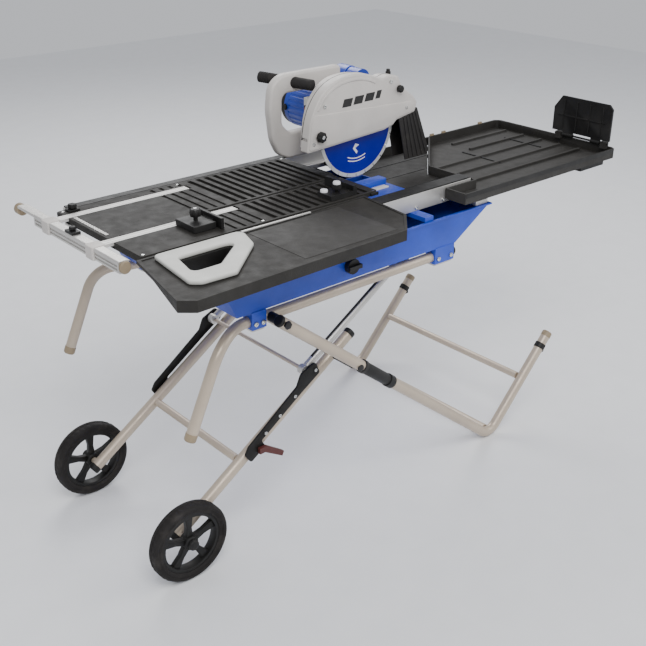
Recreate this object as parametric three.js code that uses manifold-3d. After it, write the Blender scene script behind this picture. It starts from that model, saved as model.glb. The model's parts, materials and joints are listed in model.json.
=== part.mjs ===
// Wet tile saw on a folding wheeled stand, in millimetres, +Z up.
// +X runs from the operator's end to the outfeed end, +Y away from the side tray.
// The origin is on the floor, under the middle of the whole saw.
import * as THREE from 'three';
import { mergeVertices } from 'three/addons/utils/BufferGeometryUtils.js';
import Module from 'manifold-3d';

const wasm = await Module();
wasm.setup();

// ---------- driving dimensions ----------
const GAP = 0.3; // between pieces that touch

const BLADE_R = 127; // 10 inch blade
const BLADE_T = 2.4;
const ARBOR = { x: 146, z: 896 };
const ARBOR_R = 7.9;
const GEAR_MODULE = 2.08;
const GEAR_TEETH = 20;
const PINION_TEETH = 10;
const MOTOR = { x: 138, z: 926.16 }; // one gear centre distance from the arbor
const MOTOR_R = 60;
const MOTOR_END_Y = 215;

const TABLE_TOP = 780;
const TABLE_THICK = 12;
const TABLE_X = [-600, 84];
const TABLE_Y = [-146, 230];
const SECTION_X = -258; // front section of the table ends here
const ARM_Y = [-20, 185]; // centre lines of the extension's two arms

const RAIL_TOP = 769;
const LEDGE_TOP = 738;
const RAIL_X = [-560, 364];
const ROLLER_R = 10;
const ROLLER_X = [-535, -125];

const BEAM_Z = [712.3, 724];
const BASIN_Z = [632, 712];
const BASIN_Y = [-266, 222];

const STAND_Y = -22; // mid plane of the stand
const RAIL_OFF = 228; // offsets from the stand's mid plane
const LEG_OFF = 190;
const FOOT_OFF = 282;
const WHEEL_OFF = 229;
const FEET_OFF = 272;
const TUBE_R = 14;
const RAIL_TUBE_R = 13;
const TUBE_WALL = 1.6;
const RAIL_Z = 606;
const FOLD_PIVOT = [-350, 606]; // x, z of the foot frame's hinge
const CROSSING = [-123, 417]; // x, z of the scissor's crossing bolt
const SHOE = [104, 606]; // x, z of the sliding shoe at rest
const AXLE = [-600, 101.6];
const WHEEL_R = 101.6; // 8 inch wheels
const WHEEL_W = 34;
const FOOT = [409, 14];
const RISER_TOP = [650, 258];
const STRUT_LOW = [-216, 403];

const DRAIN = [-115, 668]; // the drain's place on the basin's near wall, x and z
const TRAY_Z = [736, 764];
const POST_PIVOT = [390, 950];
const POST_Y = [290, 338];

// The frame's origin: middle of the outer box, from its furthest pieces.
const BOX_X = [AXLE[0] - WHEEL_R, 912];
const BOX_Y = [-402, 352];

// ---------- materials ----------
const paint = (color, roughness, metalness) =>
  new THREE.MeshStandardMaterial({ color, roughness, metalness });
const bluePlastic = paint(0x1a48b8, 0.45, 0);
const blueMetal = paint(0x1743ac, 0.4, 0.1);
const bladeBlue = paint(0x1414a8, 0.35, 0.3);
const greyCast = paint(0xc3beb9, 0.5, 0.1);
const lightGrey = paint(0xc4c4be, 0.5, 0);
const darkPlastic = paint(0x4b4842, 0.6, 0);
const blackPlastic = paint(0x191616, 0.5, 0);
const rubber = paint(0x1c1b1b, 0.85, 0);
const champagne = paint(0xb9aa9b, 0.35, 0.8);
const silver = paint(0xbfbfbd, 0.35, 0.9);
const steel = paint(0xa2a4a6, 0.3, 1);
const copper = paint(0xa8673c, 0.4, 0.8);
const redPlastic = paint(0x8c2f22, 0.5, 0);

// ---------- geometry helpers ----------
function clean(geometry) {
  const bare = geometry.clone();
  bare.deleteAttribute('normal');
  bare.deleteAttribute('uv');
  return mergeVertices(bare, 1e-4);
}

function toSolid(geometry) {
  const bare = clean(geometry);
  return new wasm.Manifold(new wasm.Mesh({
    numProp: 3,
    vertProperties: new Float32Array(bare.attributes.position.array),
    triVerts: new Uint32Array(bare.index.array),
  }));
}

function toGeometry(solid) {
  const mesh = solid.getMesh();
  const geometry = new THREE.BufferGeometry();
  geometry.setAttribute('position', new THREE.BufferAttribute(mesh.vertProperties, 3));
  geometry.setIndex(new THREE.BufferAttribute(mesh.triVerts, 1));
  return geometry;
}

function join(...pieces) {
  return toGeometry(pieces.map(toSolid).reduce((all, next) => all.add(next)));
}

function cut(base, ...tools) {
  return toGeometry(tools.map(toSolid).reduce((rest, tool) => rest.subtract(tool), toSolid(base)));
}

function box([x0, x1], [y0, y1], [z0, z1]) {
  return new THREE.BoxGeometry(x1 - x0, y1 - y0, z1 - z0)
    .translate((x0 + x1) / 2, (y0 + y1) / 2, (z0 + z1) / 2);
}

function rodY(radius, [x, z], [y0, y1], sides = 20) {
  return new THREE.CylinderGeometry(radius, radius, y1 - y0, sides).translate(x, (y0 + y1) / 2, z);
}

function rodZ(radius, [x, y], [z0, z1], sides = 20) {
  return new THREE.CylinderGeometry(radius, radius, z1 - z0, sides)
    .rotateX(Math.PI / 2).translate(x, y, (z0 + z1) / 2);
}

function rodX(radius, [y, z], [x0, x1], sides = 20) {
  return new THREE.CylinderGeometry(radius, radius, x1 - x0, sides)
    .rotateZ(Math.PI / 2).translate((x0 + x1) / 2, y, z);
}

// A ring about the Y axis at (x, z).
function ringY(inner, outer, at, y, sides = 24) {
  return prismY(circle(outer, at, sides), y, [circle(inner, at, sides)]);
}

// The radius of a faceted bore whose flats clear a round pin by a running fit.
const running = (pinR, sides) => (pinR + 0.05) / Math.cos(Math.PI / sides);

const shapeOf = (points) => new THREE.Shape(points.map(([a, b]) => new THREE.Vector2(a, b)));

function extrude(points, depth, holes = []) {
  const shape = shapeOf(points);
  shape.holes = holes.map((hole) => new THREE.Path(hole.map(([a, b]) => new THREE.Vector2(a, b))));
  return new THREE.ExtrudeGeometry(shape, { depth, bevelEnabled: false });
}

// Outlines in the XZ, XY and YZ planes, given a thickness along the third axis.
const prismY = (points, [y0, y1], holes) => extrude(points, y1 - y0, holes)
  .rotateX(Math.PI / 2).translate(0, y1, 0);
const prismZ = (points, [z0, z1], holes) => extrude(points, z1 - z0, holes).translate(0, 0, z0);
const prismX = (points, [x0, x1], holes) => extrude(points, x1 - x0, holes)
  .applyMatrix4(new THREE.Matrix4().makeBasis(
    new THREE.Vector3(0, 1, 0), new THREE.Vector3(0, 0, 1), new THREE.Vector3(1, 0, 0)))
  .translate(x0, 0, 0);

// The outline moved inwards by depth.
function inset(outline, depth) {
  const turn = Math.sign(THREE.ShapeUtils.area(outline.map(([a, b]) => new THREE.Vector2(a, b))));
  const heading = (from, to) => new THREE.Vector2(to[0] - from[0], to[1] - from[1]).normalize();
  return outline.map((point, i) => {
    const before = heading(outline.at(i - 1), point);
    const after = heading(point, outline[(i + 1) % outline.length]);
    const inward = new THREE.Vector2(-before.y - after.y, before.x + after.x).multiplyScalar(turn);
    const reach = (2 * depth) / inward.lengthSq();
    return [point[0] + inward.x * reach, point[1] + inward.y * reach];
  });
}

const circle = (radius, [a, b], sides = 20) => Array.from({ length: sides }, (_, i) => {
  const turn = (i / sides) * 2 * Math.PI;
  return [a + radius * Math.cos(turn), b + radius * Math.sin(turn)];
});

// A curve through fixed stations, so that a sweep has a ring at each of them.
class Route extends THREE.Curve {
  constructor(stations) {
    super();
    this.stations = stations;
  }

  getUtoTmapping(u) {
    return u;
  }

  getPoint(t, target = new THREE.Vector3()) {
    const last = this.stations.length - 1;
    const place = Math.min(Math.max(t, 0), 1) * last;
    const i = Math.min(Math.floor(place), last - 1);
    return target.lerpVectors(this.stations[i], this.stations[i + 1], place - i);
  }
}

// Corner points to stations, with a round bend at each inner corner.
function bent(corners, bendR, bendSteps = 4) {
  const points = corners.map((corner) => new THREE.Vector3(...corner));
  const stations = [points[0]];
  for (let i = 1; i < points.length - 1; i += 1) {
    const back = points[i - 1].clone().sub(points[i]).normalize();
    const ahead = points[i + 1].clone().sub(points[i]).normalize();
    const half = back.angleTo(ahead) / 2;
    const centre = back.clone().add(ahead).normalize()
      .multiplyScalar(bendR / Math.sin(half)).add(points[i]);
    const reach = bendR / Math.tan(half);
    const from = points[i].clone().addScaledVector(back, reach).sub(centre);
    const to = points[i].clone().addScaledVector(ahead, reach).sub(centre);
    const sweep = Math.PI - 2 * half;
    for (let step = 0; step <= bendSteps; step += 1) {
      const t = step / bendSteps;
      stations.push(centre.clone()
        .addScaledVector(from, Math.sin((1 - t) * sweep) / Math.sin(sweep))
        .addScaledVector(to, Math.sin(t * sweep) / Math.sin(sweep)));
    }
  }
  stations.push(points[points.length - 1]);
  return stations;
}

function sweep(stations, radius, wall = 0, sides = 10) {
  const shape = shapeOf(circle(radius, [0, 0], sides));
  if (wall > 0) {
    const bore = circle(radius - wall, [0, 0], sides).map(([a, b]) => new THREE.Vector2(a, b));
    shape.holes = [new THREE.Path(bore)];
  }
  return new THREE.ExtrudeGeometry(shape, {
    steps: stations.length - 1, extrudePath: new Route(stations), bevelEnabled: false,
  });
}

const straight = (from, to) => [new THREE.Vector3(...from), new THREE.Vector3(...to)];

function gearOutline(teeth, [x, z], phase) {
  const pitchR = (GEAR_MODULE * teeth) / 2;
  const root = pitchR - 1.2 * GEAR_MODULE;
  const tip = pitchR + 0.75 * GEAR_MODULE;
  const points = [];
  for (let i = 0; i < teeth; i += 1) {
    const middle = phase + (i / teeth) * 2 * Math.PI;
    const tooth = (2 * Math.PI) / teeth;
    [[root, -0.3], [tip, -0.12], [tip, 0.12], [root, 0.3]].forEach(([r, share]) => {
      points.push([x + r * Math.cos(middle + share * tooth), z + r * Math.sin(middle + share * tooth)]);
    });
  }
  return points;
}

// ---------- scene ----------
const saw = new THREE.Group();
saw.position.set(-(BOX_X[0] + BOX_X[1]) / 2, -(BOX_Y[0] + BOX_Y[1]) / 2, 0);

function part(name, geometry, material) {
  const mesh = new THREE.Mesh(geometry, material);
  mesh.name = name;
  saw.add(mesh);
}

const SIDES = [['near', -1], ['far', 1]];
const across = (sign, from, to) => {
  const ends = [STAND_Y + sign * from, STAND_Y + sign * to];
  return ends.sort((a, b) => a - b);
};

// ---------- basin, beams and guide rails ----------
function basin() {
  const [low, high] = BASIN_Z;
  const [near, far] = BASIN_Y;
  const wall = 4;
  const outer = prismY([[-447, low], [253, low], [380, high], [-483, high]], [near, far]);
  const lip = box([-489, 386], [near - 4, far + 4], [high - 4, high]);
  const inner = prismY([[-443, low + wall], [251, low + wall], [380.5, high + 5], [-481, high + 5]],
    [near + wall, far - wall]);
  const drain = rodY(12.4, DRAIN, [near - 5, near + 5]);
  const saddles = SIDES.flatMap(([, sign]) => [[-408, -368], [178, 248]]
    .map((x) => box(x, across(sign, 212, 246), [590, low + 1])));
  const bores = SIDES.map(([, sign]) => rodX(RAIL_TUBE_R + GAP,
    [STAND_Y + sign * RAIL_OFF, RAIL_Z], [-420, 260], 16));
  part('water_basin', cut(join(outer, lip, ...saddles), inner, drain, ...bores), bluePlastic);
  part('drain_plug', join(rodY(12, DRAIN, [near - 3, near + 3]),
    rodY(19, DRAIN, [near - 14, near - GAP]),
    box([DRAIN[0] - 20, DRAIN[0] + 20], [near - 22, near - 13], [DRAIN[1] - 5, DRAIN[1] + 5])),
  blackPlastic);
}

function beams() {
  part('front_beam', box([-455, -425], [-262, 280], BEAM_Z), silver);
  part('rear_beam', box([330, 376], [-262, 340], BEAM_Z), silver);
}

function guideRails() {
  const base = BEAM_Z[1] + GAP;
  const nearShape = [[-210, base], [-148, base], [-148, LEDGE_TOP], [-166, LEDGE_TOP],
    [-166, RAIL_TOP], [-210, RAIL_TOP]];
  const farShape = [[232, base], [280, base], [280, RAIL_TOP], [250, RAIL_TOP],
    [250, LEDGE_TOP], [232, LEDGE_TOP]];
  const hollowNear = [[-206, base + 4], [-170, base + 4], [-170, RAIL_TOP - 4], [-206, RAIL_TOP - 4]];
  const hollowFar = [[254, base + 4], [276, base + 4], [276, RAIL_TOP - 4], [254, RAIL_TOP - 4]];
  part('guide_rail_near', prismX(nearShape, RAIL_X, [hollowNear]), silver);
  part('guide_rail_far', prismX(farShape, RAIL_X, [hollowFar]), silver);
}

function bladeWell() {
  const beam = box([140, 170], [-262, 280], BEAM_Z);
  const shell = box([90, 226], [-136, 60], [BEAM_Z[1] - 1, 743]);
  const well = box([94, 222], [-30, 56], [BEAM_Z[1] + 4, 750]);
  const under = box([94, 222], [-132, -34], [BEAM_Z[0], 739]);
  part('blade_well', join(beam, cut(shell, well, under)), bluePlastic);
}

function pump() {
  const body = box([184, 240], [136, 190], [636 + GAP, 672]);
  const head = rodZ(20, [212, 163], [671, 684]);
  part('water_pump', join(body, head), blackPlastic);
  const route = bent([[212, 163, 684 + GAP], [212, 163, 718.2], [212, 318, 718.2], [330, 346.5, 718.2],
    [400, 346.5, 740], [400, 346.5, 920]], 12, 3);
  part('pump_hose', sweep(route, 5, 0, 8), rubber);
}

// ---------- sliding table ----------
function table() {
  const [x0, x1] = TABLE_X;
  const [y0, y1] = TABLE_Y;
  const under = TABLE_TOP - TABLE_THICK;
  const plate = box([x0, x1], [y0, y1], [under, TABLE_TOP]);
  const slab = box([x0, SECTION_X], [y0 + 4, y1 - 4], [762, under + 1]);
  const skirt = (y) => box([-560, -100], y, [742, under + 1]);
  const axleZ = LEDGE_TOP + ROLLER_R + 0.4;
  const bores = ROLLER_X.map((x) => rodY(running(3, 10), [x, axleZ], [y0 - 5, y1 + 5], 10));
  const channel = (y) => box([x0 - 1, SECTION_X], [y - 13, y + 13], [771, TABLE_TOP + 1]);
  const slot = box([-370, x1 + 1], [-4, 4], [under - 10, TABLE_TOP + 1]);
  const grooves = [];
  for (let x = -232; x < 60; x += 44) {
    grooves.push(box([x, x + 22], [-136, -14], [TABLE_TOP - 3, TABLE_TOP + 1]));
    grooves.push(box([x, x + 22], [14, 220], [TABLE_TOP - 3, TABLE_TOP + 1]));
  }
  part('sliding_table', cut(join(plate, slab, skirt([y0, y0 + 5]), skirt([y1 - 5, y1])),
    ...ARM_Y.map(channel), slot, ...grooves, ...bores), darkPlastic);
  const roller = (x, y) => rodY(ROLLER_R, [x, axleZ], y, 16);
  ['front', 'rear'].forEach((end, i) => part(`${end}_roller_axle`,
    join(rodY(3, [ROLLER_X[i], axleZ], [-165, 249], 10), roller(ROLLER_X[i], [-163, -150]),
      roller(ROLLER_X[i], [234, 247])), blackPlastic));
}

function extension() {
  const bar = join(box([-652, -626], [-140, 246], [752, TABLE_TOP]),
    box([-652, -626], [245, 330], [773, TABLE_TOP]));
  const groove = box([-653, -648], [-130, 240], [762, 770]);
  const arm = (y) => box([-627, -262], [y - 12, y + 12], [771 + GAP, 779.3]);
  const caps = [[-148, -139], [329, 352]].map((y) => rodY(14, [-639, 766], y));
  part('extension_bar', cut(join(bar, ...caps, ...ARM_Y.map(arm)), groove), silver);
}

// A black guide with a flat fence, held by a knob.
function angleGauge() {
  const body = join(box([-440, -380], [-108, -32], [780.4, 796]),
    box([-376, -368], [-122, -18], [780.4, 806]), box([-381, -375], [-90, -50], [780.4, 796]));
  part('angle_gauge', body, blackPlastic);
  part('gauge_knob', join(rodZ(5, [-410, -70], [796 + GAP, 806]),
    rodZ(14, [-410, -70], [805, 824], 8)), blackPlastic);
}

function ripGuide() {
  const body = join(box([-62, 22], [-138, -86], [780.4, 792]),
    box([10, 22], [-138, -30], [780.4, 804]));
  const knob = join(rodZ(4, [-22, -112], [791, 800]), rodZ(12, [-22, -112], [799, 810], 16));
  part('rip_guide', join(body, knob), blackPlastic);
}

// ---------- side tray and rear tray ----------
function sideTray() {
  const outline = [[-616, -151], [-664, -376], [-634, -402], [-58, -392], [14, -318], [34, -151]];
  const inset = [[-604, -214], [-656, -373], [-632, -396], [-60, -386], [8, -314], [20, -214]];
  const gap = [[-546, -212], [-564, -288], [-502, -288], [-408, -212]];
  const slab = prismZ(outline, [770, 776]);
  const skirt = prismZ(outline.map(([x, y]) => [x, Math.min(y, -214)]), [752, 771]);
  const hollow = prismZ(inset, [751, 770]);
  const rimOuter = prismZ(outline, [775, 778]);
  const rimInner = prismZ([[-608, -158], [-654, -374], [-630, -395], [-61, -385], [7, -315],
    [26, -158]], [774, 779]);
  const pad = box([-340, -70], [-372, -172], [775, 777]);
  part('side_tray', cut(join(slab, pad, cut(skirt, hollow), cut(rimOuter, rimInner)),
    prismZ(gap, [740, 790])), darkPlastic);
  const frame = [[-583, -164], [-604, -328], [-584, -346], [-500, -350], [-379, -245], [-356, -180],
    [-366, -164]];
  part('carry_handle', prismZ(frame, [776 + GAP, 786], [gap]), lightGrey);
}

function rearTray() {
  const outline = [[262, -284], [905, -284], [912, -276], [912, 150], [902, 160], [592, 160],
    [394, -28], [372, -50], [372, -214], [262, -214]];
  const inset = [[267, -279], [903, -279], [907, -275], [907, 149], [900, 155], [594, 155],
    [397.5, -31.5], [377, -52], [377, -219], [267, -219]];
  const [low, high] = TRAY_Z;
  const pan = cut(prismZ(outline, [low, high]), prismZ(inset, [low + 4, high + 1]));
  const ribs = [-245, -175, -105, -35].map((y) => box([400, 890], [y - 4, y + 4], [low + 3, low + 10]));
  const farRibs = [35, 105].map((y) => box([640, 890], [y - 4, y + 4], [low + 3, low + 10]));
  const lugs = [-250, -90].map((y) => box([896, 910], [y - 10, y + 10], [high - 6, 778]));
  const bore = rodY(running(3, 12), [901, 772], [-300, 0], 12);
  part('rear_tray', cut(join(pan, ...ribs, ...farRibs, ...lugs), bore), darkPlastic);
  const panel = prismX([[-268, 781], [-66, 781], [-66, 850], [-92, 886], [-256, 886], [-268, 874]],
    [898, 904]);
  const pin = rodY(3, [901, 772], [-264, -76], 12);
  const knuckles = [[-236, -204], [-140, -104]].flatMap((y) => [rodY(6, [901, 772], y, 12),
    box([898, 904], y, [777, 783])]);
  part('splash_plate', join(panel, pin, ...knuckles), blackPlastic);
}

// ---------- post and saw head ----------
function post() {
  const column = prismY([[336, BEAM_Z[1] + GAP], [424, BEAM_Z[1] + GAP], [424, 738], [412, 752],
    [420, 940], [360, 940], [356, 752], [336, 738]], POST_Y);
  const boss = rodY(32, POST_PIVOT, POST_Y, 24);
  const bore = rodY(running(12, 24), POST_PIVOT, [POST_Y[0] - 1, POST_Y[1] + 1], 24);
  part('head_post', cut(join(column, boss), bore), blueMetal);
  part('pivot_shaft', join(rodY(12, POST_PIVOT, [234, POST_Y[1] + 3], 24),
    rodY(17, POST_PIVOT, [226, 237], 6), rodY(17, POST_PIVOT, [POST_Y[1] + 1, 349], 6)), steel);
}

function headArm() {
  const boss = rodY(30, POST_PIVOT, [242, 286], 24);
  const beam = box([212, 392], [244, 276], [922, 968]);
  const nearArm = box([212, 246], [69, 246], [928, 968]);
  const bore = rodY(running(12, 24), POST_PIVOT, [240, 288], 24);
  part('head_arm', cut(join(beam, nearArm, boss), bore), blueMetal);
}

function gearHousing() {
  const outline = [[92, 880], [112, 862], [180, 862], [206, 884], [248, 926], [248, 970], [206, 988],
    [104, 988], [84, 968], [84, 900]];
  const inset = outline.map(([x, z]) => [166 + (x - 166) * 0.93, 925 + (z - 925) * 0.93]);
  const shell = cut(prismY(outline, [30, 68]), prismY(inset, [36, 60]));
  const bores = [rodY(16.2, [ARBOR.x, ARBOR.z], [29, 37]), rodY(9, [MOTOR.x, MOTOR.z], [59, 69]),
    rodY(9, [ARBOR.x, ARBOR.z], [59, 69])];
  part('gear_housing', cut(shell, ...bores), greyCast);
  part('arbor_bearing', ringY(running(ARBOR_R, 20), 16, [ARBOR.x, ARBOR.z], [30, 36], 20), steel);
  part('motor_bearing', ringY(running(6, 16), 9, [MOTOR.x, MOTOR.z], [221, 228], 16), steel);
}

function motor() {
  const at = [MOTOR.x, MOTOR.z];
  const tube = ringY(MOTOR_R - 3, MOTOR_R, at, [68 + GAP, MOTOR_END_Y], 28);
  part('motor_housing', tube, bluePlastic);
  const cap = rodY(MOTOR_R - 2, at, [MOTOR_END_Y + GAP, 236], 24);
  const pocket = rodY(MOTOR_R - 6, at, [MOTOR_END_Y - 1, 230], 24);
  const vents = Array.from({ length: 6 }, (_, i) => {
    const turn = (i / 6) * 2 * Math.PI;
    return rodY(8, [at[0] + 38 * Math.cos(turn), at[1] + 38 * Math.sin(turn)], [228, 238], 6);
  });
  const rib = cut(rodY(15, at, [220, 231]), rodY(9.3, at, [219, 229]));
  part('motor_end_cap', join(cut(cap, pocket, ...vents), rib), blackPlastic);
  part('stator', ringY(36, MOTOR_R - 3.8, at, [95, 166], 20), copper);
  const teeth = gearOutline(PINION_TEETH, at, Math.atan2(ARBOR.z - at[1], ARBOR.x - at[0]));
  const fan = Array.from({ length: 5 }, (_, i) => box([8, 48], [174, 184], [-1.2, 1.2])
    .rotateY((i / 5) * 2 * Math.PI).translate(at[0], 0, at[1]));
  part('armature', join(rodY(6, at, [38, 227.5], 12), rodY(33, at, [98, 164], 16),
    rodY(14, at, [200, 216], 12), prismY(teeth, [40, 54]), rodY(48, at, [171, 174.5], 20),
    ...fan), steel);
  const arborAt = [ARBOR.x, ARBOR.z];
  const facing = Math.atan2(MOTOR.z - ARBOR.z, MOTOR.x - ARBOR.x) + Math.PI / GEAR_TEETH;
  part('arbor_gear', prismY(gearOutline(GEAR_TEETH, arborAt, facing), [40, 54],
    [circle(ARBOR_R + 0.2, arborAt, 20)]), steel);
}

function bladeSet() {
  const at = [ARBOR.x, ARBOR.z];
  const half = BLADE_T / 2;
  part('blade', ringY(ARBOR_R + 0.2, BLADE_R, at, [-half, half], 60), bladeBlue);
  part('outer_flange', ringY(ARBOR_R + 0.2, 25, at, [-8, -half - GAP]), steel);
  part('arbor_nut', prismY(circle(13, at, 6), [-16, -8 - GAP], [circle(ARBOR_R + 0.2, at)]), steel);
  part('arbor_shaft', join(rodY(ARBOR_R, at, [-18, 64]), rodY(11, at, [8, 29]),
    rodY(25, at, [half + GAP, 9], 24)), steel);
}

const GUARD = [[-42, 868], [-38, 905], [-31, 945], [-19, 975], [0, 1003], [28, 1026], [62, 1039],
  [102, 1044], [140, 1042], [172, 1034], [196, 1022], [212, 1019], [240, 1026], [268, 1018], [282, 990],
  [328, 958], [343, 940], [334, 915], [267, 903], [254, 892], [222, 884]];
// The far half is a little narrower at the front and lower at the top.
const GUARD_FAR = GUARD.map(([x, z]) => [x < 60 ? 60 + (x - 60) * 0.82 : x, z > 1000 ? z - 3 : z]);

function guard() {
  const hole = circle(30, [ARBOR.x, ARBOR.z], 24);
  const mouth = (front) => [[front, 840], [front, 890], [278, 912], [278, 840]];
  const nearShell = cut(prismY(GUARD, [-25, 1]), prismY(inset(GUARD, 4), [-22, 2]),
    prismY(mouth(-35), [-22, 2]));
  const farShell = cut(prismY(GUARD_FAR, [1 + GAP, 28]), prismY(inset(GUARD_FAR, 4), [0, 25]),
    prismY(mouth(-16), [0, 25]), prismY(hole, [20, 30]));
  part('guard_cover', nearShell, greyCast);
  part('guard_body', farShell, greyCast);
  part('guard_knob', join(rodY(5, [-3, 906], [-29, -25 - GAP], 12), rodY(14, [-3, 906], [-42, -28], 10)),
    blackPlastic);
  const flap = [[276, 908], [345, 925], [398, 800], [392, 788], [306, 788]];
  const flapInside = [[260, 920], [341, 920], [393, 801], [389, 780], [260, 780]];
  const clearance = prismY(GUARD.map(([x, z]) => [x, z - GAP]), [-30, 30]);
  part('splash_flap', cut(prismY(flap, [-23, 26]), prismY(flapInside, [-20, 23]), clearance), rubber);
}

function handleLoop() {
  const outer = [[166, 1044], [-30, 1044], [-64, 1020], [-72, 960], [-62, 880], [-42, 842], [-12, 828],
    [166, 828], [166, 896], [-8, 896], [-32, 920], [-30, 985], [-18, 996], [166, 996]];
  const gripAxis = [[28, 34, 1018], [-26, 184, 1024]];
  const seat = sweep(straight(...gripAxis), 14.4, 0, 16);
  part('handle_loop', cut(prismY(outer, [84, 110]), seat,
    rodY(MOTOR_R + GAP, [MOTOR.x, MOTOR.z], [70, 120], 32)), greyCast);
  part('plunge_grip', sweep(straight(...gripAxis), 14, 0, 16), rubber);
}

function switchBox() {
  const well = box([18, 28], [40, 58], [938, 962]);
  const gland = rodZ(9, [60, 49], [899, 916], 16);
  part('switch_box', cut(join(box([22, 83.5], [34, 64], [915, 985]), gland), well,
    rodZ(4, [60, 49], [895, 910], 12)), lightGrey);
  part('switch_button', box([17, 24], [40.5, 57.5], [938.5, 961.5]), redPlastic);
}

// ---------- folding stand ----------
const at3 = ([x, z], sign, off) => [x, STAND_Y + sign * off, z];
const bolt = (at, y) => rodY(running(6, 12), at, y, 12);

function standRails() {
  SIDES.forEach(([side, sign]) => {
    const route = bent([at3([256, RAIL_Z], sign, RAIL_OFF), at3([-430, RAIL_Z], sign, RAIL_OFF),
      at3([-510, RAIL_Z], sign, FEET_OFF), at3([-604, 402], sign, FEET_OFF)], 80, 3);
    const stud = [rodY(6, FOLD_PIVOT, across(sign, 216, 299), 12),
      rodY(12, FOLD_PIVOT, across(sign, 238, 268 - GAP), 16),
      rodY(10, FOLD_PIVOT, across(sign, 296 + GAP, 303), 6)];
    part(`stand_rail_${side}`, join(sweep(route, RAIL_TUBE_R, TUBE_WALL), ...stud), champagne);
  });
}

function footFrame() {
  SIDES.forEach(([side, sign]) => {
    const low = [FOOT[0] + 3, FOOT[1] - 14.6];
    const route = bent([at3([-362, 615], sign, FOOT_OFF), at3(low, sign, FOOT_OFF),
      at3(RISER_TOP, sign, FOOT_OFF)], 44, 5);
    const stud = [rodY(6, CROSSING, across(sign, 170, 290), 12),
      rodY(11, CROSSING, across(sign, 204 + GAP, 270), 16),
      rodY(10, CROSSING, across(sign, 166, 176 - GAP), 6)];
    part(`foot_leg_${side}`, join(cut(sweep(route, TUBE_R, TUBE_WALL),
      bolt(FOLD_PIVOT, across(sign, 260, 304))), ...stud), champagne);
  });
  const inner = FOOT_OFF - TUBE_R - GAP;
  const span = [STAND_Y - inner, STAND_Y + inner];
  part('foot_bar', ringY(TUBE_R - TUBE_WALL, TUBE_R, FOOT, span, 16), champagne);
  part('pull_bar', ringY(8.6, 10, [540, 146.6], span, 16), champagne);
}

const LEG_DIR = [0.8342, 0.5515]; // along a wheel leg, from the axle to the crossing
const alongLeg = (a, b) => [CROSSING[0] + a * LEG_DIR[0] - b * LEG_DIR[1],
  CROSSING[1] + a * LEG_DIR[1] + b * LEG_DIR[0]];

function wheelFrame() {
  SIDES.forEach(([side, sign]) => {
    const leg = sweep(straight(at3(alongLeg(-588, 0), sign, LEG_OFF), at3(alongLeg(70, 0), sign,
      LEG_OFF)), TUBE_R, TUBE_WALL);
    part(`wheel_leg_${side}`, join(cut(leg, bolt(CROSSING, across(sign, 165, 215))),
      rodY(8, AXLE, across(sign, 180, 252), 16)), champagne);
    const strut = sweep(straight(at3(STRUT_LOW, sign, LEG_OFF), at3(SHOE, sign, LEG_OFF)), 10);
    const outline = [[-62, 10], [-54, 46], [-104, 54], [-132, 36], [-318, 28], [-338, 18], [-338, -12],
      [-284, -12], [-284, 10], [-130, 12]];
    const plate = prismY(outline.map(([a, b]) => alongLeg(a, b)), across(sign, 204 + GAP, 211));
    const shoe = box([SHOE[0] - 18, SHOE[0] + 18], across(sign, 199, 208), [598, 614]);
    const pin = rodY(6, STRUT_LOW, across(sign, 190, 208), 12);
    part(`scissor_strut_${side}`, join(strut, plate, shoe, pin), silver);
  });
  const inner = LEG_OFF - TUBE_R - GAP;
  part('leg_brace', ringY(8.6, 10, alongLeg(-352, 0), [STAND_Y - inner, STAND_Y + inner], 16),
    champagne);
  const rod = LEG_OFF - 10 - GAP;
  part('latch_rod', rodY(5, STRUT_LOW, [STAND_Y - rod, STAND_Y + rod], 12), champagne);
}

function releasePedal() {
  const at = alongLeg(-300, -4);
  const arm = prismY([[-8, -8], [8, -8], [60, -40], [66, -28], [14, 8], [-8, 8]]
    .map(([x, z]) => [at[0] + x, at[1] + z]), across(-1, 211 + GAP, 222));
  part('release_pedal', arm, redPlastic);
}

function wheels() {
  SIDES.forEach(([side, sign]) => {
    const width = across(sign, WHEEL_OFF - WHEEL_W / 2, WHEEL_OFF + WHEEL_W / 2);
    const middle = (width[0] + width[1]) / 2;
    const half = WHEEL_W / 2;
    const profile = [[78, -half + 4], [92, -half], [WHEEL_R - 2, -half + 4], [WHEEL_R, -half + 10],
      [WHEEL_R, half - 10], [WHEEL_R - 2, half - 4], [92, half], [78, half - 4], [78, -half + 4]];
    const tyre = new THREE.LatheGeometry(profile.map(([r, y]) => new THREE.Vector2(r, y)), 32)
      .translate(AXLE[0], middle, AXLE[1]);
    part(`tyre_${side}`, tyre, rubber);
    const windows = Array.from({ length: 5 }, (_, i) => {
      const corner = (r, share) => {
        const turn = ((i + share) / 5) * 2 * Math.PI;
        return [AXLE[0] + r * Math.cos(turn), AXLE[1] + r * Math.sin(turn)];
      };
      return [corner(27, 0.28), corner(64, 0.16), corner(67, 0.5), corner(64, 0.84), corner(27, 0.72)];
    });
    const spider = prismY(circle(76, AXLE, 32), [middle - 6, middle + 6], windows);
    const rim = ringY(70, 78 - GAP, AXLE, [middle - 12, middle + 12], 32);
    const boss = rodY(18, AXLE, [width[0] + 1, width[1] - 1], 16);
    const bore = rodY(running(8, 16), AXLE, [middle - 40, middle + 40], 16);
    part(`wheel_hub_${side}`, cut(join(rim, spider, boss), bore), blackPlastic);
  });
}

// ---------- assembly ----------
basin();
beams();
guideRails();
bladeWell();
pump();
table();
extension();
angleGauge();
ripGuide();
sideTray();
rearTray();
post();
headArm();
gearHousing();
motor();
bladeSet();
guard();
handleLoop();
switchBox();
standRails();
footFrame();
wheelFrame();
releasePedal();
wheels();

export default saw;
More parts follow.
